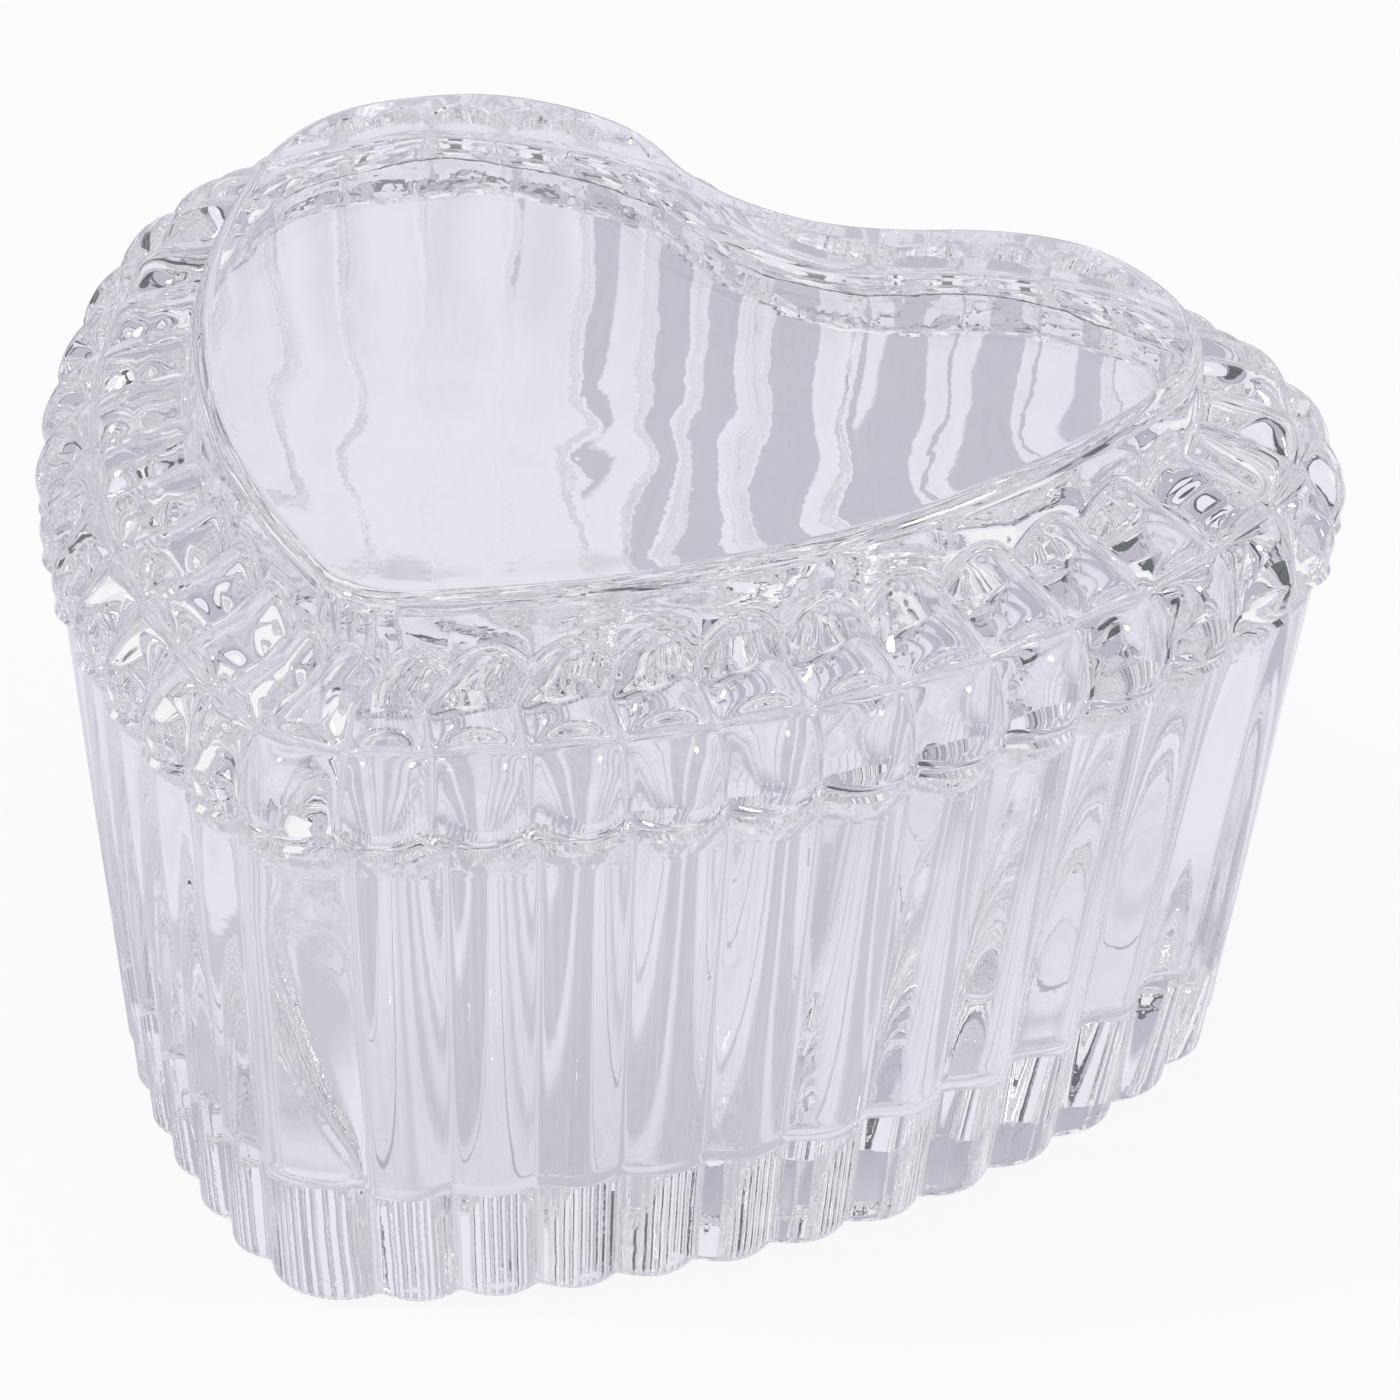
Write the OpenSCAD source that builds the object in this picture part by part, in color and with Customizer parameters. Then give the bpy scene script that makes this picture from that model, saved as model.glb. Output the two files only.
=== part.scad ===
// Pressed-glass trinket box in the shape of a heart: a ribbed, thick-floored base and a
// lift-off lid with two tiers of gadroons around a raised flat top.
//
// Both pieces are rings of points stacked from one heart outline. The outline is a chain of
// arcs: tip, side, lobe and notch, mirrored about the Y axis. "Inset" is the distance inward
// from the widest outline, which is the crest of the lid's rim. A gadroon is an arch between
// two grooves, so each level of a ribbed face has a groove point and a crest point.

/* [Heart outline] */
// Width across both lobes
box_w = 110; // [96:1:130]
// Length from the tip to the top of the lobes
box_l = 110.5; // [100:0.5:125]
// Radius of each lobe
lobe_r = 31.5; // [29:0.5:35]
// Radius of the long side curve between the tip and a lobe
side_r = 100; // [90:1:140]
// Radius of the tip
tip_r = 16.5; // [14:0.5:20]
// Least radius of the tip on the inner outlines
inner_tip_r = 7.5; // [4:0.5:9]
// Radius of the notch between the lobes
notch_r = 8.5; // [6:0.5:12]

/* [Gadroons] */
// Gadroons on each side, between the one on the tip and the one in the notch
side_gadroons = 19; // [14:1:26]
// Width of the gadroon on the tip
tip_gadroon_w = 10.8; // [8:0.1:13]
// How much wider a mid-side gadroon is than the mean one, as a share of the mean width
swell = 0.08; // [0:0.01:0.2]
// Depth of the grooves between the base's ribs
rib_depth = 1.1; // [0.6:0.1:1.6]
// Depth of the grooves between the beads of the lid's rim
bead_depth = 2; // [0.6:0.1:2.4]
// Depth of the grooves between the gadroons on the lid's slope
gadroon_depth = 2.4; // [0.8:0.1:2.8]

/* [Base] */
// Height of the base
base_h = 47; // [35:1:60]
// How far the lid's rim stands out past the base
overhang = 1.6; // [0.6:0.1:2]
// How far the foot draws in below the rim
base_draft = 7.2; // [3:0.2:9]
// Rounding of the rim's outer edge
rim_round = 2.4; // [1.8:0.1:3]
// Rounding of the foot's edge
foot_round = 1; // [0.4:0.1:1.8]
// Thickness of the wall at the rim, crest to inside
wall_t = 5.4; // [4.6:0.1:7]
// How much thicker the wall is at the floor
wall_taper = 0.8; // [0:0.1:2]
// Thickness of the solid floor
floor_t = 8; // [4:0.5:12]
// Rounding between the wall and the floor inside
floor_round = 3; // [1:0.5:5]
// Rounding of the rim's inner edge
mouth_round = 0.8; // [0.4:0.1:1.2]

/* [Lid] */
// Height of the beaded rim
bead_h = 8.4; // [6:0.2:12]
// Width of the beaded rim, seen from above
bead_w = 4.6; // [3.5:0.1:6]
// Rise of the gadrooned slope
slope_h = 3.8; // [3:0.2:8]
// Width of the gadrooned slope, seen from above
slope_w = 7.8; // [6:0.2:9]
// Height of the flat top above the slope
top_h = 5.1; // [3:0.1:7]
// Rounding of the flat top's edge
shoulder_r = 1.8; // [1:0.1:2.5]
// How far the seat's outer edge lies inside the beads' crests
seat_edge = 0.4; // [0.2:0.1:1.6]
// Depth of the valley between the beads and the slope
valley_depth = 0.3; // [0.1:0.1:1.2]

/* [Lid underside] */
// Play between the lid's locating ring and the base's mouth
lid_play = 0.9; // [0.3:0.1:1.2]
// Depth of the locating ring below the seat
ring_h = 2.6; // [2:0.1:5]
// Width of the locating ring's lower face
ring_w = 2.4; // [1.5:0.1:4]
// Thickness of glass between the flat top and the hollow
ceiling_t = 13.3; // [8:0.1:16]
// Rounding of the locating ring's lower outer edge
ring_edge = 0.5; // [0.2:0.1:1]
// How far the hollow's side leans in between the locating ring and its rounded corner
hollow_draft = 0.3; // [0.1:0.1:1]
// Rounding between the hollow's side and its flat ceiling
hollow_round = 3.4; // [1:0.2:4]

/* [Hidden] */
glass = [0.84, 0.83, 0.88];

// Points on each gadroon, from groove to groove
per_gadroon = 4;
half_steps = per_gadroon * (side_gadroons + 1);

// Centres of the outline's arcs. The tip points to -Y and the outline's box is centred.
lobe_c = [box_w / 2 - lobe_r, box_l / 2 - lobe_r];
tip_c = [0, tip_r - box_l / 2];
notch_c = [0, lobe_c.y + sqrt(pow(lobe_r + notch_r, 2) - pow(lobe_c.x, 2))];
side_c = arc_centre(tip_c, side_r - tip_r, lobe_c, side_r - lobe_r);

// The point that lies ra from a and rb from b, on the left of the way from a to b
function arc_centre(a, ra, b, rb) =
    let (
        along = (b - a) / norm(b - a),
        x = (ra * ra - rb * rb + pow(norm(b - a), 2)) / (2 * norm(b - a)),
        y = sqrt(ra * ra - x * x)
    )
    a + x * along + y * [-along.y, along.x];

function heading(v) = atan2(v.y, v.x);
function polar(r, angle) = r * [cos(angle), sin(angle)];

// Tip arc at an inset: its radius, and its centre, which keeps it tangent to the side arcs
function tip_radius(inset) = max(tip_r - inset, inner_tip_r);
function tip_centre(inset) =
    [0, side_c.y - sqrt(pow(side_r - inset - tip_radius(inset), 2) - pow(side_c.x, 2))];

// The arcs of the right half at an inset, from the tip to the notch. Each arc is
// [centre, radius, first angle, last angle, side], and side is -1 on the hollow notch.
function half_arcs(inset) =
    let (
        c = tip_centre(inset),
        tip_end = heading(c - side_c),
        side_end = heading(lobe_c - side_c),
        lobe_end = heading(notch_c - lobe_c)
    )
    [
        [c, tip_radius(inset), -90, tip_end, 1],
        [side_c, side_r - inset, tip_end, side_end, 1],
        [lobe_c, lobe_r - inset, side_end, lobe_end, 1],
        [notch_c, notch_r + inset, lobe_end - 180, -90, -1]
    ];
function arc_length(arc) = abs(arc[3] - arc[2]) * PI / 180 * arc[1];
function half_length(arcs) =
    arc_length(arcs[0]) + arc_length(arcs[1]) + arc_length(arcs[2]) + arc_length(arcs[3]);

// [point, outward direction] for a distance along the ruled arcs. The point lies at the same
// share of the same arc in arcs, which belong to another inset, so a groove that follows it
// from inset to inset runs square to the outline.
function along_arcs(arcs, ruled, distance, k = 0) =
    (k < 3 && distance > arc_length(ruled[k]))
        ? along_arcs(arcs, ruled, distance - arc_length(ruled[k]), k + 1)
        : let (
            arc = arcs[k],
            share = min(distance / arc_length(ruled[k]), 1),
            angle = arc[2] + (arc[3] - arc[2]) * share
        )
        [arc[0] + polar(arc[1], angle), arc[4] * polar(1, angle)];

// Distance along the half outline at step i. The tip's gadroon has its own width and the
// others share the rest. Those in mid side are a little wider than the mean, and those near
// the tip and the notch are a little narrower.
function step_distance(arcs, i) =
    let (
        turns = i / per_gadroon,
        tip_half = tip_gadroon_w / 2,
        count_share = (turns - 0.5) / (side_gadroons + 0.5),
        length_share = count_share - swell * sin(360 * count_share) / (2 * PI)
    )
    turns < 0.5
        ? tip_gadroon_w * turns
        : tip_half + length_share * (half_length(arcs) - tip_half);

// Height of the arch at step i: 1 on a gadroon's crest and 0 in a groove
function arch(i) =
    let (turns = i / per_gadroon + 0.5, across = 2 * (turns - floor(turns)) - 1)
    1 - across * across;

// One closed ring. A level is [groove inset, groove height, crest inset, crest height]. Its
// gadroons are shared out along the outline at the inset ruled_inset.
function half_ring(level, ruled_inset) =
    let (arcs = half_arcs(level[0]), ruled = half_arcs(ruled_inset))
    [
        for (i = [0 : half_steps])
            let (
                spot = along_arcs(arcs, ruled, step_distance(ruled, i)),
                rise = arch(i),
                xy = spot[0] + spot[1] * (level[0] - level[2]) * rise
            )
            [xy.x, xy.y, level[1] + (level[3] - level[1]) * rise]
    ];
function ring(level, ruled_inset) =
    let (right = half_ring(level, ruled_inset))
    [
        for (i = [0 : half_steps])
            [i == 0 || i == half_steps ? 0 : right[i].x, right[i].y, right[i].z],
        for (i = [half_steps - 1 : -1 : 1])
            [-right[i].x, right[i].y, right[i].z]
    ];

function smooth(inset, z) = [inset, z, inset, z];

// A closed solid from levels that run up the outside and back down the inside, or the
// other way round. The first and the last ring are flat and are closed with one face each.
// Square grooves run square to the widest outline, and the others keep the same shares of
// every level's own outline.
module ringed_solid(levels, square_grooves) {
    count = 2 * half_steps;
    rings = [for (level = levels) ring(level, square_grooves ? 0 : level[0])];
    points = [for (one = rings) each one];
    bands = [
        for (k = [0 : len(levels) - 2], i = [0 : count - 1])
            let (
                a = k * count + i,
                b = k * count + (i + 1) % count
            )
            each [[a, a + count, b], [b, a + count, b + count]]
    ];
    first_face = [for (i = [0 : count - 1]) i];
    last_face = [for (i = [count - 1 : -1 : 0]) (len(levels) - 1) * count + i];
    polyhedron(points = points, faces = concat(bands, [first_face, last_face]), convexity = 8);
}

// Levels of the base, from the foot up the ribs, over the rim and down to the floor
foot_inset = overhang + base_draft;
mouth_inset = overhang + wall_t;
floor_inset = foot_inset + wall_t + wall_taper;
floor_corner = 0.3 * floor_round;
function rib_inset(z) = foot_inset - base_draft * z / base_h;
function rib_level(z) = [rib_inset(z) + rib_depth, z, rib_inset(z), z];
function rim_level(angle) =
    let (
        crest = rib_inset(base_h - rim_round),
        sweep = 1 - cos(angle),
        z = base_h - rim_round * (1 - sin(angle))
    )
    [crest + rib_depth + (rim_round - rib_depth) * sweep, z, crest + rim_round * sweep, z];
function inside_inset(z) =
    mouth_inset + (floor_inset - mouth_inset) * (base_h - z) / (base_h - floor_t);
base_levels = [
    [foot_inset + rib_depth + foot_round, 0, foot_inset + foot_round, 0],
    rib_level(foot_round),
    rim_level(0),
    rim_level(35),
    rim_level(65),
    rim_level(90),
    smooth(mouth_inset - mouth_round, base_h),
    smooth(mouth_inset, base_h - mouth_round),
    smooth(inside_inset(floor_t + floor_round), floor_t + floor_round),
    smooth(inside_inset(floor_t) + floor_corner, floor_t + floor_corner),
    smooth(inside_inset(floor_t) + floor_round, floor_t)
];

// Levels of the lid's outside, from the seat to the flat top. A share is how far across and
// how far up its tier a level lies.
bead_top = base_h + bead_h;
slope_top = bead_top + slope_h;
lid_top = slope_top + top_h;
wall_inset = bead_w + slope_w;
bead_shares = [[0.1, 0.1], [0, 0.34], [0.14, 0.64], [0.44, 0.88], [0.8, 1]];
slope_shares = [[0.02, 0.24], [0.18, 0.5], [0.5, 0.8], [0.8, 0.98], [1, 1]];
function bead_level(share) =
    let (inset = bead_w * share[0], z = base_h + bead_h * share[1])
    [
        inset + bead_depth * (1 - share[0]),
        z - bead_depth * share[0] * (1.25 - share[0]),
        inset,
        z
    ];
function slope_level(share) =
    let (
        inset = bead_w + slope_w * share[0],
        z = bead_top + slope_h * share[1],
        sink = gadroon_depth * (0.4 + 0.6 * share[1])
    )
    [inset + 0.4 * gadroon_depth * (1 - share[0]), z - sink, inset, z];
function shoulder(angle) =
    smooth(wall_inset + shoulder_r * (1.1 - cos(angle)), lid_top - shoulder_r * (1 - sin(angle)));
lid_outside = [
    [seat_edge + bead_depth, base_h, seat_edge, base_h],
    for (share = bead_shares) bead_level(share),
    [bead_w, bead_top - valley_depth - bead_depth / 4, bead_w, bead_top - valley_depth],
    for (share = slope_shares) slope_level(share),
    shoulder(0),
    shoulder(50),
    shoulder(90)
];

// Levels of the lid's underside, from the hollow down the locating ring to the seat
ceiling_z = lid_top - ceiling_t;
ring_outer = mouth_inset + lid_play;
ring_inner = ring_outer + ring_w;
ring_z = base_h - ring_h;
hollow_inset = ring_inner + hollow_draft;
function hollow_level(angle) =
    smooth(
        hollow_inset + hollow_round * (1 - sin(angle)),
        ceiling_z - hollow_round * (1 - cos(angle))
    );
lid_underside = [
    hollow_level(0),
    hollow_level(30),
    hollow_level(60),
    hollow_level(90),
    smooth(ring_inner, ring_z),
    smooth(ring_outer + ring_edge, ring_z),
    smooth(ring_outer, ring_z + ring_edge),
    smooth(ring_outer, base_h)
];

// Heart-shaped cup with drafted ribs, a smooth inside and a thick solid floor
module glass_base() {
    color(glass) ringed_solid(base_levels, false);
}

// Thick lid that lifts straight off, with a ring below it that sits in the base's mouth
module glass_lid() {
    color(glass) ringed_solid(concat(lid_underside, lid_outside), true);
}

glass_base();
glass_lid();
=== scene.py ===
"""Looks of the heart-shaped pressed-glass box: a ribbed base and a gadrooned lift-off lid."""

import math

import bpy
import numpy as np
from mathutils import Matrix, Vector


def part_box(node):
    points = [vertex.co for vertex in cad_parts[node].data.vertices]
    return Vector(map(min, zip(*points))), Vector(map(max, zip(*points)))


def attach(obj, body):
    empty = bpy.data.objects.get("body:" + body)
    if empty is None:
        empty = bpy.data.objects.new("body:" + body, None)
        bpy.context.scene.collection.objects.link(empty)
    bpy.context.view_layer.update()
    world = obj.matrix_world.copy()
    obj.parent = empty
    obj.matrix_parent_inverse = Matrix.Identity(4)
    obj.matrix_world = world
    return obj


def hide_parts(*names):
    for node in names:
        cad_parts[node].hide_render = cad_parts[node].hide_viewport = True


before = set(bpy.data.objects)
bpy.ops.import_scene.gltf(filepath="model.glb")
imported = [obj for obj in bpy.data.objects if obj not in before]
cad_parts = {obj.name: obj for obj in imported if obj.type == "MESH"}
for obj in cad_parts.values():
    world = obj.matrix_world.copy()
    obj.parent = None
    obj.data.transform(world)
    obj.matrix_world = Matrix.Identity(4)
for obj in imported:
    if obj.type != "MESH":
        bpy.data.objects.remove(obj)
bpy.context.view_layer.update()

# ---------------------------------------------------------------- sizes, in metres
MM = 0.001
base_low, base_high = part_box("glass_base")
lid_low, lid_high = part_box("glass_lid")

BASE_H = base_high.z
LID_TOP = lid_high.z
RING_Z = lid_low.z

# Width and length over the crests. A groove may fall on the widest line.
CREST_W = 110 * MM
CREST_L = 110.5 * MM
LOBE_R = 31.5 * MM
SIDE_R = 100 * MM
TIP_R = 16.5 * MM
INNER_TIP_R = 7.5 * MM
NOTCH_R = 8.5 * MM
SIDE_GADROONS = 19
GADROONS = 2 * SIDE_GADROONS + 2
TIP_GADROON_W = 10.8 * MM
SWELL = 0.08

OVERHANG = 1.6 * MM
BASE_DRAFT = 7.2 * MM
RIB_DEPTH = 1.4 * MM
RIM_ROUND = 2.4 * MM
FOOT_ROUND = 1.0 * MM
WALL_T = 5.4 * MM
WALL_TAPER = 0.8 * MM
FLOOR_T = 8 * MM
FLOOR_ROUND = 3 * MM
MOUTH_ROUND = 0.8 * MM

BEAD_H = 8.4 * MM
BEAD_W = 4.6 * MM
BEAD_DEPTH = 2.3 * MM
SLOPE_H = 3.8 * MM
SLOPE_W = 7.8 * MM
GADROON_DEPTH = 2.4 * MM
VALLEY_DEPTH = 0.3 * MM
SHOULDER_R = 1.8 * MM
SEAT_EDGE = 0.4 * MM
CEILING_T = 13.3 * MM
LID_PLAY = 0.9 * MM
RING_W = 2.4 * MM
RING_EDGE = 0.5 * MM
HOLLOW_DRAFT = 0.3 * MM
HOLLOW_ROUND = 3.4 * MM

# Rounding of a groove's bottom, as a share of its depth, and how far columns crowd into it
GROOVE_ROUND = 0.16
GROOVE_CROWDING = 0.55

# Air between the two glass faces where the lid rests on the base
SEAT_AIR = 0.03 * MM

# Where the poles lie along Y that close each shell's first and last level
CAP_CENTRE_Y = -6 * MM


# ---------------------------------------------------------------- the heart outline
def arc_centre(a, ra, b, rb):
    """Point that lies ra from a and rb from b, on the left of the way from a to b."""
    gap = np.linalg.norm(b - a)
    along = (b - a) / gap
    x = (ra * ra - rb * rb + gap * gap) / (2 * gap)
    y = math.sqrt(ra * ra - x * x)
    return a + x * along + y * np.array([-along[1], along[0]])


LOBE_C = np.array([CREST_W / 2 - LOBE_R, CREST_L / 2 - LOBE_R])
NOTCH_C = np.array([0, LOBE_C[1] + math.sqrt((LOBE_R + NOTCH_R) ** 2 - LOBE_C[0] ** 2)])
SIDE_C = arc_centre(np.array([0, TIP_R - CREST_L / 2]), SIDE_R - TIP_R, LOBE_C, SIDE_R - LOBE_R)


def half_arcs(inset):
    """Arcs of the right half at an inset, from the tip to the notch.

    Each arc is centre x and y, radius, first and last angle, length, and the side that faces
    out, which is -1 on the hollow notch. Each arc keeps its centre and changes its radius with
    the inset, and the tip's arc slides along Y so that it stays tangent once its radius has
    reached the least one.
    """
    tip_r = np.maximum(TIP_R - inset, INNER_TIP_R)
    tip_y = SIDE_C[1] - np.sqrt((SIDE_R - inset - tip_r) ** 2 - SIDE_C[0] ** 2)
    tip_end = np.arctan2(tip_y - SIDE_C[1], -SIDE_C[0])
    side_end = np.arctan2(*(LOBE_C - SIDE_C)[::-1])
    lobe_end = np.arctan2(*(NOTCH_C - LOBE_C)[::-1])
    zero = 0 * inset
    arcs = [
        (zero, tip_y, tip_r, zero - math.pi / 2, tip_end, 1),
        (*SIDE_C, SIDE_R - inset, tip_end, side_end, 1),
        (*LOBE_C, LOBE_R - inset, side_end, lobe_end, 1),
        (*NOTCH_C, NOTCH_R + inset, lobe_end - math.pi, -math.pi / 2, -1),
    ]
    return [
        (x, y, r, first, last, np.abs(last - first) * r + zero, side)
        for x, y, r, first, last, side in arcs
    ]


def outline(inset, turns, shared_at):
    """Heart outline at an inset, for a column of insets and a row of turns.

    turns counts gadroons from the middle of the tip, up the right side and back down the left
    one. The outline at the inset shared_at is shared out: the tip's gadroon has a fixed width
    and the others share the rest, those in mid side a little wider and those near the tip and
    the notch a little narrower. At share t of the count, the share of the length is
    t - SWELL * sin(2 pi t) / (2 pi). A point keeps its share of its arc at any other inset, so
    a groove runs square to the outline. Returns x, y and the outward direction's x and y.
    """
    whole = sum(arc[5] for arc in half_arcs(shared_at))
    tip_half = TIP_GADROON_W / 2
    fold = np.minimum(turns, GADROONS - turns)
    side = np.where(turns > GADROONS / 2, -1.0, 1.0)
    share = (fold - 0.5) / (SIDE_GADROONS + 0.5)
    share = share - SWELL * np.sin(2 * math.pi * share) / (2 * math.pi)
    left = np.where(fold < 0.5, TIP_GADROON_W * fold, tip_half + share * (whole - tip_half))
    x, y, nx, ny = (np.zeros(np.broadcast(inset, left).shape) for _ in range(4))
    unplaced = np.ones(x.shape, bool)
    for k, (arc, ruled) in enumerate(zip(half_arcs(inset), half_arcs(shared_at))):
        cx, cy, r, first, last, _, facing = arc
        here = unplaced & ((left <= ruled[5]) | (k == 3))
        angle = first + (last - first) * np.clip(left / ruled[5], 0, 1)
        x = np.where(here, cx + r * np.cos(angle), x)
        y = np.where(here, cy + r * np.sin(angle), y)
        nx = np.where(here, facing * np.cos(angle), nx)
        ny = np.where(here, facing * np.sin(angle), ny)
        unplaced &= ~here
        left = left - ruled[5]
    return side * x, y, side * nx, ny


# ---------------------------------------------------------------- levels
# A level is [groove inset, groove height, crest inset, crest height].
def smooth(inset, z):
    """Level of a face without gadroons."""
    return [inset, z, inset, z]


def spline(levels, steps):
    """Curve through the levels: a centripetal Catmull-Rom spline with so many steps a span."""
    p = np.array(levels)
    p = np.vstack([2 * p[0] - p[1], p, 2 * p[-1] - p[-2]])
    knot = np.concatenate([[0], np.cumsum(np.linalg.norm(np.diff(p, axis=0), axis=1) ** 0.5)])
    share = np.arange(steps) / steps
    out = []
    for k in range(1, len(p) - 2):
        t0, t1, t2, t3 = knot[k - 1 : k + 3]
        t = (t1 + (t2 - t1) * share)[:, None]
        a1 = ((t1 - t) * p[k - 1] + (t - t0) * p[k]) / (t1 - t0)
        a2 = ((t2 - t) * p[k] + (t - t1) * p[k + 1]) / (t2 - t1)
        a3 = ((t3 - t) * p[k + 1] + (t - t2) * p[k + 2]) / (t3 - t2)
        b1 = ((t2 - t) * a1 + (t - t0) * a2) / (t2 - t0)
        b2 = ((t3 - t) * a2 + (t - t1) * a3) / (t3 - t1)
        out.append(((t2 - t) * b1 + (t - t1) * b2) / (t2 - t1))
    return np.vstack(out + [p[-2:-1]])


def straight(first, last, steps):
    """Levels evenly spaced between two levels, without the last one."""
    share = np.arange(steps)[:, None] / steps
    return np.array(first) + (np.array(last) - np.array(first)) * share


def angles(first, last, steps):
    """Angles in radians from first to last, given in degrees."""
    return np.radians(np.linspace(first, last, steps + 1))


FOOT_INSET = OVERHANG + BASE_DRAFT
MOUTH_INSET = OVERHANG + WALL_T
FLOOR_INSET = FOOT_INSET + WALL_T + WALL_TAPER
RIM_Z = BASE_H - SEAT_AIR


def rib_level(z):
    """Ribs at height z: their crests draw in evenly from the rim to the foot."""
    crest = FOOT_INSET - BASE_DRAFT * z / BASE_H
    return [crest + RIB_DEPTH, z, crest, z]


def foot_level(angle):
    """Quarter round of the foot's edge."""
    z = FOOT_ROUND * (1 - math.sin(angle))
    crest = rib_level(FOOT_ROUND)[2] + FOOT_ROUND * (1 - math.cos(angle))
    return [crest + RIB_DEPTH, z, crest, z]


def rim_level(angle):
    """Quarter round of the rim: the grooves run out into its smooth top."""
    crest = rib_level(RIM_Z - RIM_ROUND)[2]
    sweep = 1 - math.cos(angle)
    z = RIM_Z - RIM_ROUND * (1 - math.sin(angle))
    return [crest + RIB_DEPTH + (RIM_ROUND - RIB_DEPTH) * sweep, z, crest + RIM_ROUND * sweep, z]


def inside_level(z):
    """Smooth inner wall, drafted from the mouth to the floor."""
    share = (BASE_H - z) / (BASE_H - FLOOR_T)
    return smooth(MOUTH_INSET + (FLOOR_INSET - MOUTH_INSET) * share, z)


def corner_level(angle):
    """Quarter round between the inner wall and the floor."""
    low = FLOOR_T + FLOOR_ROUND * (1 - math.sin(angle))
    return smooth(inside_level(FLOOR_T + FLOOR_ROUND)[0] + FLOOR_ROUND * (1 - math.cos(angle)), low)


def base_levels():
    """The base from the foot up the ribs, over the rim and down to the floor."""
    top = RIM_Z - RIM_ROUND
    corner_top = FLOOR_T + FLOOR_ROUND
    mouth = [
        smooth(MOUTH_INSET - MOUTH_ROUND * (1 - math.sin(a)), RIM_Z - MOUTH_ROUND * (1 - math.cos(a)))
        for a in angles(0, 90, 5)
    ]
    return np.vstack([
        [foot_level(a) for a in angles(90, 0, 6)],
        straight(rib_level(FOOT_ROUND), rib_level(top), 44)[1:],
        [rim_level(a) for a in angles(0, 90, 9)],
        straight(rim_level(math.pi / 2), mouth[0], 2)[1:],
        mouth,
        straight(mouth[-1], inside_level(corner_top), 18)[1:],
        [corner_level(a) for a in angles(0, 90, 8)],
    ])


BEAD_TOP = BASE_H + BEAD_H
SLOPE_TOP = BEAD_TOP + SLOPE_H
WALL_INSET = BEAD_W + SLOPE_W
BEAD_SHARES = [(0.1, 0.1), (0, 0.34), (0.14, 0.64), (0.44, 0.88), (0.8, 1)]
SLOPE_SHARES = [(0.02, 0.24), (0.18, 0.5), (0.5, 0.8), (0.8, 0.98), (1, 1)]


def bead_level(across, up):
    """Beads of the rim, at a share of their width and height."""
    inset, z = BEAD_W * across, BASE_H + BEAD_H * up
    return [inset + BEAD_DEPTH * (1 - across), z - BEAD_DEPTH * across * (1.25 - across), inset, z]


def slope_level(across, up):
    """Gadroons of the slope, at a share of its width and height. Their grooves end at the wall."""
    inset, z = BEAD_W + SLOPE_W * across, BEAD_TOP + SLOPE_H * up
    groove = inset + GADROON_DEPTH * 0.4 * (1 - across)
    return [groove, z - GADROON_DEPTH * (0.4 + 0.6 * up), inset, z]


def shoulder_level(angle):
    """Quarter round of the flat top's edge."""
    inset = WALL_INSET + SHOULDER_R * (1.1 - math.cos(angle))
    return smooth(inset, LID_TOP - SHOULDER_R * (1 - math.sin(angle)))


RING_OUTER = MOUTH_INSET + LID_PLAY
RING_INNER = RING_OUTER + RING_W
CEILING_Z = LID_TOP - CEILING_T
HOLLOW_INSET = RING_INNER + HOLLOW_DRAFT


def hollow_level(angle):
    """Quarter round between the flat ceiling and the hollow's side."""
    inset = HOLLOW_INSET + HOLLOW_ROUND * (1 - math.sin(angle))
    return smooth(inset, CEILING_Z - HOLLOW_ROUND * (1 - math.cos(angle)))


def ring_level(angle):
    """Quarter round of the locating ring's lower outer edge."""
    inset = RING_OUTER + RING_EDGE * (1 - math.sin(angle))
    return smooth(inset, RING_Z + RING_EDGE * (1 - math.cos(angle)))


def lid_levels():
    """The lid from its hollow down the locating ring, over the seat and up the outside."""
    valley = [BEAD_W, BEAD_TOP - VALLEY_DEPTH - BEAD_DEPTH / 4, BEAD_W, BEAD_TOP - VALLEY_DEPTH]
    hollow = [hollow_level(a) for a in angles(0, 90, 12)]
    ring = [ring_level(a) for a in angles(0, 90, 3)]
    seat = [SEAT_EDGE + BEAD_DEPTH, BASE_H, SEAT_EDGE, BASE_H]
    return np.vstack([
        hollow,
        straight(hollow[-1], smooth(RING_INNER, RING_Z), 3)[1:],
        [smooth(RING_INNER, RING_Z)],
        ring,
        straight(smooth(RING_OUTER, RING_Z + RING_EDGE), smooth(RING_OUTER, BASE_H), 3)[1:],
        straight(smooth(RING_OUTER, BASE_H), seat, 4),
        spline([seat] + [bead_level(*s) for s in BEAD_SHARES] + [valley], 4)[:-1],
        spline([valley] + [slope_level(*s) for s in SLOPE_SHARES], 4)[:-1],
        straight(slope_level(1, 1), shoulder_level(0), 4),
        [shoulder_level(a) for a in angles(0, 90, 10)],
    ])


# ---------------------------------------------------------------- meshes
def ripples(points, wavelength, seed):
    """Gentle unevenness from -1 to 1: eight plane waves in fixed random directions."""
    rng = np.random.default_rng(seed)
    ways = rng.normal(size=(8, 3))
    ways /= np.linalg.norm(ways, axis=1, keepdims=True)
    ways *= (2 * math.pi / wavelength) * rng.uniform(0.6, 1.5, (8, 1))
    return np.sin(points @ ways.T + rng.uniform(0, 2 * math.pi, 8)).sum(-1) / 8


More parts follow.
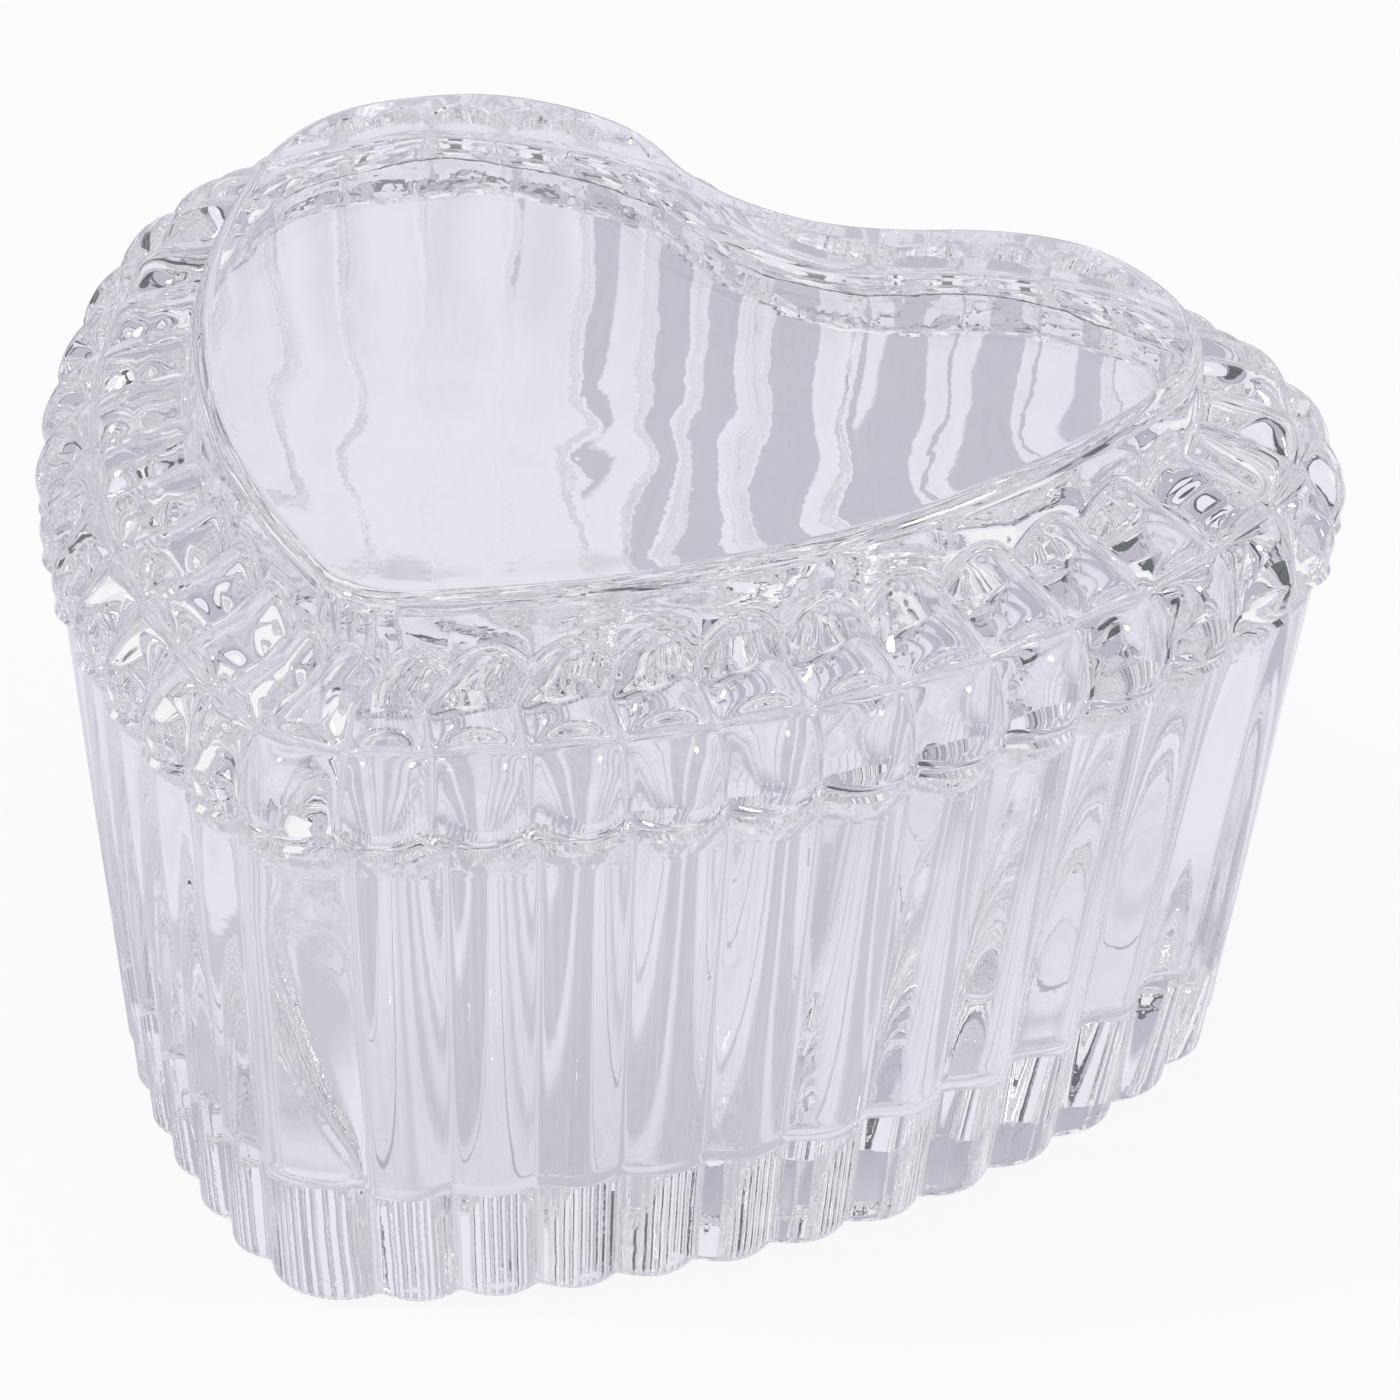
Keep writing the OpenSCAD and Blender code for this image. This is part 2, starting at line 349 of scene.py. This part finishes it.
def glass_shell(name, levels, square_grooves, per_gadroon, arch_power, caps, waviness):
    """Closed grid: one row a level, one column a step around the heart, and a pole at each end.

    A point lies between its level's groove and crest by the arch, which is
    a = 1 - |2u - 1| ** arch_power at share u of a gadroon. The groove's bottom is rounded: a
    becomes sqrt(a * a + r * r) - r, scaled so that the crest stays at 1, and the columns crowd
    towards the grooves. Square grooves run square to the outline from its widest level, and the
    others keep to equal shares at each level. caps rows shrink the first and the last level
    towards their poles. waviness(points) moves each point along the surface's normal.
    """
    turns = np.arange(GADROONS * per_gadroon)[None, :] / per_gadroon
    turns = turns + GROOVE_CROWDING * np.sin(2 * math.pi * turns) / (2 * math.pi)
    rise = 1 - np.abs(2 * ((turns + 0.5) % 1) - 1) ** arch_power
    rise = (np.hypot(rise, GROOVE_ROUND) - GROOVE_ROUND) / (math.hypot(1, GROOVE_ROUND) - GROOVE_ROUND)
    groove, groove_z, crest, crest_z = (levels[:, k : k + 1] for k in range(4))
    x, y, nx, ny = outline(groove, turns, 0 * groove if square_grooves else groove)
    out = (groove - crest) * rise
    body = np.stack([x + nx * out, y + ny * out, groove_z + (crest_z - groove_z) * rise], axis=-1)
    shrink = ((np.arange(1, caps) / caps) ** 0.8)[:, None, None]
    poles = [np.array([0, CAP_CENTRE_Y, row[:, 2].mean()]) for row in (body[0], body[-1])]
    grid = np.concatenate([
        poles[0] + (body[:1] - poles[0]) * shrink,
        body,
        poles[1] + (body[-1:] - poles[1]) * shrink[::-1],
    ])
    around = np.roll(grid, -1, 1) - np.roll(grid, 1, 1)
    along = np.gradient(grid, axis=0)
    normal = np.cross(around, along)
    normal /= np.linalg.norm(normal, axis=-1, keepdims=True)
    grid = grid + normal * waviness(grid)[..., None]
    rows, columns = grid.shape[:2]
    points = np.concatenate([grid.reshape(-1, 3), poles])
    a = (np.arange(rows - 1)[:, None] * columns + np.arange(columns)[None, :]).ravel()
    b = (np.arange(rows - 1)[:, None] * columns + (np.arange(columns) + 1)[None, :] % columns).ravel()
    quads = np.stack([a, b, b + columns, a + columns], axis=1)
    first = np.arange(columns)
    after = (first + 1) % columns
    last = (rows - 1) * columns
    start = np.stack([np.full(columns, len(points) - 2), after, first], axis=1)
    end = np.stack([last + first, last + after, np.full(columns, len(points) - 1)], axis=1)
    mesh = bpy.data.meshes.new(name)
    mesh.from_pydata(points.tolist(), [], quads.tolist() + start.tolist() + end.tolist())
    mesh.polygons.foreach_set("use_smooth", np.ones(len(mesh.polygons), bool))
    mesh.update()
    piece = bpy.data.objects.new(name, mesh)
    bpy.context.scene.collection.objects.link(piece)
    return piece


def base_waviness(p):
    """Ripples of a fire-polished wall. The foot and the rim stay flat."""
    z = p[..., 2]
    free = np.clip(z / (3 * MM), 0, 1) * np.clip((RIM_Z - z) / (4 * MM), 0, 1)
    return free * (0.05 * MM * ripples(p, 14 * MM, 3) + 0.008 * MM * ripples(p, 8 * MM, 4))


def lid_waviness(p):
    """Ripples of the lid, sunk a little so that they stay inside its outline, and a flat seat."""
    free = np.clip(np.abs(p[..., 2] - BASE_H) / (1.5 * MM), 0, 1)
    return free * (0.22 * MM * ripples(p, 16 * MM, 5) - 0.15 * MM + 0.01 * MM * ripples(p, 5 * MM, 6))


# ---------------------------------------------------------------- colours
WHITE = (1, 1, 1, 1)
CLEAR_GREEN = (0.975, 0.985, 0.98, 1)
CLEAR_PINK = (0.995, 0.99, 1.0, 1)
LAVENDER = (0.82, 0.805, 0.885, 1)
# Mauve is painted shade of the cloth and card that the glass sees, and also the round panel's own colour
# and a random cloudy tone
MAUVE = (0.50, 0.47, 0.55, 1)
# Painted shade of the soft bands on the floor under the box
BAND_SHADE_MAUVE = (0.44, 0.415, 0.48, 1)
TENT = (0.84, 0.825, 0.90, 1)
# Painted light: the lit side of the tent's cloth folds
LIT_CLOTH = (0.93, 0.95, 0.94, 1)
# Slate is the dark gaps and the panel's edge, and also painted dark creases and lines
SLATE = (0.10, 0.11, 0.12, 1)
# Painted glow of light caught in the glass, in lit and shaded patches
CAUGHT_LIGHT = (0.74, 0.73, 0.78, 1)
CAUGHT_SHADE = (0.50, 0.48, 0.54, 1)
CARD = (0.8, 0.79, 0.84, 1)


# ---------------------------------------------------------------- shader maths
class Wire:
    """A shader socket that takes + - * and builds the Math nodes."""

    def __init__(self, tree, socket):
        self.tree, self.socket = tree, socket

    def math(self, operation, other=None, swap=False):
        values = [other, self] if swap else [self, other]
        return add_node(self.tree, "ShaderNodeMath", {"operation": operation},
                        {k: v for k, v in enumerate(values) if v is not None})

    def __add__(self, other):
        return self.math("ADD", other)

    def __radd__(self, other):
        return self.math("ADD", other, True)

    def __sub__(self, other):
        return self.math("SUBTRACT", other)

    def __rsub__(self, other):
        return self.math("SUBTRACT", other, True)

    def __mul__(self, other):
        return self.math("MULTIPLY", other)

    def __rmul__(self, other):
        return self.math("MULTIPLY", other, True)


def add_node(tree, kind, settings=None, inputs=None, output=0):
    """Adds a node of a type, sets its settings, then its inputs, and returns one output."""
    node = tree.nodes.new(kind)
    for key, value in (settings or {}).items():
        setattr(node, key, value)
    for key, value in (inputs or {}).items():
        if isinstance(value, Wire):
            tree.links.new(value.socket, node.inputs[key])
        else:
            node.inputs[key].default_value = value
    return Wire(tree, node.outputs[output])


def mix_colour(tree, share, first, second):
    """Colour that goes from the first to the second with share."""
    return add_node(tree, "ShaderNodeMix", {"data_type": "RGBA"}, {0: share, 6: first, 7: second}, output=2)


def soft_step(value, low, high):
    """0 below low, 1 above high, and a smooth rise between them."""
    return add_node(value.tree, "ShaderNodeMapRange", {"interpolation_type": "SMOOTHSTEP"},
                    {"Value": value, "From Min": low, "From Max": high})


# ---------------------------------------------------------------- the glass
IOR = 1.5
PEEL_HEIGHT = 0.05
BUMP_DEPTH = 0.2 * MM
HAZE = 0.012

# Turns inside the glass after which light counts as caught and shows as a painted glow
DEEPEST_RAY = 8

# Heights between which the ground rim's grit shows, and how far it fades in and out
GRIT_LOW = BASE_H - 3 * MM
GRIT_HIGH = BASE_H + 0.8 * MM
GRIT_FADE_IN = 0.8 * MM
GRIT_FADE_OUT = 0.5 * MM


def caught_light(tree, place):
    """Painted glow that stands in for light caught in the glass: lit pale and shaded mauve patches
    by place on the glass, a few painted bright highlights, and thin painted dark lines."""
    patches = add_node(tree, "ShaderNodeTexNoise", {}, {"Vector": place, "Scale": 55.0, "Detail": 1.0})
    colour = mix_colour(tree, soft_step(patches, 0.46, 0.52), CAUGHT_SHADE, CAUGHT_LIGHT)
    lights = add_node(tree, "ShaderNodeTexNoise", {}, {"Vector": place, "Scale": 90.0, "Detail": 0.0})
    colour = mix_colour(tree, soft_step(lights, 0.62, 0.66), colour, WHITE)
    shade_lines = add_node(tree, "ShaderNodeTexNoise", {}, {"Vector": place, "Scale": 38.0, "Detail": 1.0})
    shade_line_gap = (shade_lines - 0.5).math("ABSOLUTE")
    return mix_colour(tree, 1 - soft_step(shade_line_gap, 0.006, 0.016), colour, SLATE)


def pressed_glass(name, seed, rim_grit):
    """Clear soda-lime glass: near-white tint that wanders a little, and fine orange peel.

    rim_grit is how rough the ground rim is. Light that takes more turns inside the glass than
    DEEPEST_RAY is not followed further, and the glass shows caught_light there, a painted glow.
    """
    material = bpy.data.materials.new(name)
    material.use_nodes = True
    tree = material.node_tree
    shader = tree.nodes["Principled BSDF"]
    place = add_node(tree, "ShaderNodeTexCoord", output=3)
    place = add_node(tree, "ShaderNodeMapping", {}, {"Vector": place, "Location": (seed, 0, 0)})
    cloud = add_node(tree, "ShaderNodeTexNoise", {}, {"Vector": place, "Scale": 60.0, "Detail": 2.0})
    tint = mix_colour(tree, cloud, CLEAR_GREEN, CLEAR_PINK)
    peel = add_node(tree, "ShaderNodeTexNoise", {}, {"Vector": place, "Scale": 420.0, "Detail": 2.0})
    grit = add_node(tree, "ShaderNodeTexNoise", {}, {"Vector": place, "Scale": 900.0, "Detail": 1.0})
    height = add_node(tree, "ShaderNodeSeparateXYZ", {}, {0: place}, output=2)
    above = soft_step(height, GRIT_LOW, GRIT_LOW + GRIT_FADE_IN)
    ground = above * (1 - soft_step(height, GRIT_HIGH - GRIT_FADE_OUT, GRIT_HIGH))
    relief = peel * PEEL_HEIGHT + grit * ground * rim_grit
    bump = add_node(tree, "ShaderNodeBump", {}, {"Height": relief, "Strength": 1.0, "Distance": BUMP_DEPTH})
    tree.links.new(tint.socket, shader.inputs["Base Color"])
    tree.links.new(bump.socket, shader.inputs["Normal"])
    tree.links.new((cloud * HAZE).socket, shader.inputs["Roughness"])
    shader.inputs["Transmission Weight"].default_value = 1.0
    shader.inputs["IOR"].default_value = IOR
    # Painted glow in place of light that is no longer followed
    depth = add_node(tree, "ShaderNodeLightPath", output="Ray Depth")
    spent = depth.math("GREATER_THAN", DEEPEST_RAY)
    glow = add_node(tree, "ShaderNodeEmission", {}, {"Color": caught_light(tree, place), "Strength": 1.0})
    mixed = add_node(tree, "ShaderNodeMixShader", {}, {0: spent, 1: Wire(tree, shader.outputs[0]), 2: glow})
    tree.links.new(mixed.socket, tree.nodes["Material Output"].inputs["Surface"])
    return material


def light_path(tree):
    """Camera, glossy and transmission ray outputs of one Light Path node."""
    node = tree.nodes.new("ShaderNodeLightPath")
    return [Wire(tree, node.outputs[k]) for k in ("Is Camera Ray", "Is Glossy Ray", "Is Transmission Ray")]


# ---------------------------------------------------------------- the two pieces
base_piece = glass_shell("pressed_base", base_levels(), square_grooves=False, per_gadroon=20,
                         arch_power=2.0, caps=9, waviness=base_waviness)
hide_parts("glass_base")
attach(base_piece, "base")
base_piece.data.materials.append(pressed_glass("base_clear_glass", seed=0.0, rim_grit=0.7))

lid_piece = glass_shell("pressed_lid", lid_levels(), square_grooves=True, per_gadroon=18,
                        arch_power=2.2, caps=12, waviness=lid_waviness)
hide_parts("glass_lid")
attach(lid_piece, "lid")
lid_piece.data.materials.append(pressed_glass("lid_clear_glass", seed=3.0, rim_grit=0.0))


# ---------------------------------------------------------------- studio
scene = bpy.context.scene
scene.view_settings.view_transform = "Standard"

CAMERA_AZIMUTH = math.radians(25.676)
CAMERA_ELEVATION = math.radians(29.808)
CAMERA_ROLL = math.radians(2.553)
CAMERA_DISTANCE = 1.3399
CAMERA_TARGET = Vector((4.098, 14.362, 27.757)) * MM
CAMERA_LENS = 411.4
SENSOR_W = 36


def make_camera():
    """Long lens from the right of the tip, above the lid, with a slight roll."""
    data = bpy.data.cameras.new("camera")
    data.lens, data.sensor_width = CAMERA_LENS, SENSOR_W
    data.clip_end = 10
    camera = bpy.data.objects.new("camera", data)
    scene.collection.objects.link(camera)
    scene.camera = camera
    a, e = CAMERA_AZIMUTH, CAMERA_ELEVATION
    back = Vector((math.sin(a) * math.cos(e), -math.cos(a) * math.cos(e), math.sin(e)))
    right = Vector((0, 0, 1)).cross(back).normalized()
    up = back.cross(right)
    turned = right * math.cos(CAMERA_ROLL) + up * math.sin(CAMERA_ROLL)
    upward = up * math.cos(CAMERA_ROLL) - right * math.sin(CAMERA_ROLL)
    turn = Matrix((turned, upward, back)).transposed().to_4x4()
    camera.matrix_world = Matrix.Translation(CAMERA_TARGET + back * CAMERA_DISTANCE) @ turn


FLOOR_HALF = 1500 * MM
FLOOR_DROP = 0.2 * MM

# The way across the painted shadow stretch and across the painted shade bands on the floor
STRETCH_WAY = (0.93, 0.37)
BAND_WAY = (0.9, 0.43)


def make_floor():
    """Wide pale floor just under the foot, white to the camera.

    The glass sees it as cloudy lavender card with painted light and shade: under the box soft
    mauve bands of painted shade, as if light fell through the ribs, and thin painted dark lines;
    behind the box the box's painted shadow, a mauve stretch between two straight edges; and far
    out mauve folds of painted shade that have painted dark creases.
    """
    mesh = bpy.data.meshes.new("floor")
    r, z = FLOOR_HALF, -FLOOR_DROP
    mesh.from_pydata([(-r, -r, z), (r, -r, z), (r, r, z), (-r, r, z)], [], [(0, 1, 2, 3)])
    floor = bpy.data.objects.new("floor", mesh)
    scene.collection.objects.link(floor)
    material = bpy.data.materials.new("pale_floor")
    material.use_nodes = True
    tree = material.node_tree
    tree.nodes.clear()
    camera_ray, glossy, through = light_path(tree)
    place = add_node(tree, "ShaderNodeTexCoord", output=3)
    x = add_node(tree, "ShaderNodeSeparateXYZ", {}, {0: place}, output=0)
    y = add_node(tree, "ShaderNodeSeparateXYZ", {}, {0: place}, output=1)
    # Painted shadow of the box on the floor behind it: a mauve stretch between two straight edges
    along = x * STRETCH_WAY[0] + y * STRETCH_WAY[1]
    near = soft_step(along, 5.8 * MM, 7.5 * MM)
    far = soft_step(along, 38 * MM, 41 * MM)
    behind = soft_step(y, 30 * MM, 50 * MM)
    shade = near * (1 - far) * behind
    reach = add_node(tree, "ShaderNodeVectorMath", {"operation": "LENGTH"}, {0: place}, output=1)
    beyond = soft_step(reach, 125 * MM, 145 * MM)
    cloud = add_node(tree, "ShaderNodeTexNoise", {}, {"Vector": place, "Scale": 22.0, "Detail": 1.0})
    seen = mix_colour(tree, shade, LAVENDER, MAUVE)
    seen = mix_colour(tree, soft_step(cloud, 0.35, 0.75) * 0.35, seen, MAUVE)
    # Painted shade far out on the floor: mauve folds with painted dark creases, and dark patches
    fold_shading = add_node(tree, "ShaderNodeTexNoise", {}, {"Vector": place, "Scale": 14.0, "Detail": 0.0})
    seen = mix_colour(tree, soft_step(fold_shading, 0.50, 0.52) * beyond, seen, MAUVE)
    crease_shade = (fold_shading - 0.50).math("ABSOLUTE")
    seen = mix_colour(tree, (1 - soft_step(crease_shade, 0.010, 0.018)) * beyond, seen, SLATE)
    seen = mix_colour(tree, soft_step(fold_shading, 0.66, 0.68) * beyond, seen, SLATE)
    # Painted shade under the box: soft deep mauve bands, as if light fell through the ribs, and thin
    # painted dark lines
    shade_bands = add_node(tree, "ShaderNodeTexNoise", {"noise_dimensions": "1D"},
                     {"W": x * BAND_WAY[0] + y * BAND_WAY[1], "Scale": 95.0, "Detail": 1.5})
    under = 1 - soft_step(reach, 60 * MM, 75 * MM)
    seen = mix_colour(tree, soft_step(shade_bands, 0.47, 0.56) * under * 0.6, seen, BAND_SHADE_MAUVE)
    shade_thread = (shade_bands - 0.42).math("ABSOLUTE")
    seen = mix_colour(tree, (1 - soft_step(shade_thread, 0.004, 0.012)) * under * 0.5, seen, SLATE)
    colour = mix_colour(tree, camera_ray, seen, WHITE)
    glow = add_node(tree, "ShaderNodeEmission", {}, {"Color": colour, "Strength": 1.0})
    plain = add_node(tree, "ShaderNodeBsdfDiffuse", {}, {"Color": CARD})
    share = camera_ray * 0.9 + glossy + through
    mixed = add_node(tree, "ShaderNodeMixShader", {}, {0: share, 1: plain, 2: glow})
    end = tree.nodes.new("ShaderNodeOutputMaterial")
    tree.links.new(mixed.socket, end.inputs["Surface"])
    mesh.materials.append(material)


# Middle of the stretch of tent that the flat top mirrors, and of the mauve panel
MIRRORED_WAY = (-0.376, 0.782, 0.497)
PANEL_WAY = (-0.113, 0.801, 0.588)
LAMP_STRENGTH = 4.0

# Painted shade: how much more mauve and gappy the tent's right side, away from the key lamp, is than its
# left side
SIDE_SHADE = 0.04


def make_world():
    """White to the camera. The glass sees a tent of pale cloth.

    It has folds painted as shaded mauve and lit white cloth with a painted dark crease at the
    shade's edge, dark gaps, a round mauve panel with a dark edge, and small round lamps. Its right
    side has more painted shade. The stretch that the flat top mirrors is plain.
    """
    world = bpy.data.worlds.new("studio")
    scene.world = world
    world.use_nodes = True
    tree = world.node_tree
    tree.nodes.clear()
    camera_ray = light_path(tree)[0]
    way = add_node(tree, "ShaderNodeTexCoord", output=0)
    right = add_node(tree, "ShaderNodeSeparateXYZ", {}, {0: way}, output=0)
    mirrored = add_node(tree, "ShaderNodeVectorMath", {"operation": "DOT_PRODUCT"},
                        {0: way, 1: MIRRORED_WAY}, output=1)
    plain = soft_step(mirrored, 0.975, 0.988)
    # Painted light and shade of the tent's cloth folds: shaded mauve, lit white, and a painted dark crease
    # at the shade's edge
    fold_shading = add_node(tree, "ShaderNodeTexNoise", {}, {"Vector": way, "Scale": 2.6, "Detail": 0.0})
    fold = fold_shading - right * SIDE_SHADE
    tent = mix_colour(tree, soft_step(fold, 0.46, 0.475), MAUVE, TENT)
    tent = mix_colour(tree, soft_step(fold, 0.60, 0.61), tent, LIT_CLOTH)
    fold_edge_shade = (fold - 0.453).math("ABSOLUTE")
    tent = mix_colour(tree, 1 - soft_step(fold_edge_shade, 0.008, 0.012), tent, SLATE)
    # Dark gaps, with more of them on the right side as painted shade
    gaps = add_node(tree, "ShaderNodeTexNoise", {}, {"Vector": way, "Scale": 4.1, "Detail": 0.0})
    tent = mix_colour(tree, soft_step(gaps + right * SIDE_SHADE, 0.61, 0.625), tent, SLATE)
    panel = add_node(tree, "ShaderNodeVectorMath", {"operation": "DOT_PRODUCT"},
                     {0: way, 1: PANEL_WAY}, output=1)
    tent = mix_colour(tree, soft_step(panel, 0.960, 0.963), tent, SLATE)
    tent = mix_colour(tree, soft_step(panel, 0.966, 0.969), tent, MAUVE)
    tent = mix_colour(tree, plain, tent, TENT)
    lamps = add_node(tree, "ShaderNodeTexVoronoi", {}, {"Vector": way, "Scale": 8.0})
    bright = (1 - soft_step(lamps, 0.09, 0.11)) * LAMP_STRENGTH
    colour = mix_colour(tree, camera_ray, tent, WHITE)
    strength = 1 + bright * (1 - plain) * (1 - camera_ray)
    glow = add_node(tree, "ShaderNodeBackground", {}, {"Color": colour, "Strength": strength})
    end = tree.nodes.new("ShaderNodeOutputWorld")
    tree.links.new(glow.socket, end.inputs["Surface"])


def make_lamp(name, place, size, power):
    """Round soft lamp that points at the box."""
    data = bpy.data.lights.new(name, "AREA")
    data.shape = "DISK"
    data.size, data.energy = size, power
    lamp = bpy.data.objects.new(name, data)
    scene.collection.objects.link(lamp)
    lamp.location = place
    lamp.rotation_euler = (Vector((0, 0, 0.03)) - lamp.location).to_track_quat("-Z", "Y").to_euler()


make_camera()
make_floor()
make_world()
make_lamp("key_lamp", Vector((-0.6, -0.5, 0.9)), 0.14, 4)
make_lamp("fill_lamp", Vector((0.8, 0.3, 0.7)), 0.16, 2)

scene.cycles.max_bounces = 32
scene.cycles.transmission_bounces = 32
scene.cycles.glossy_bounces = 16
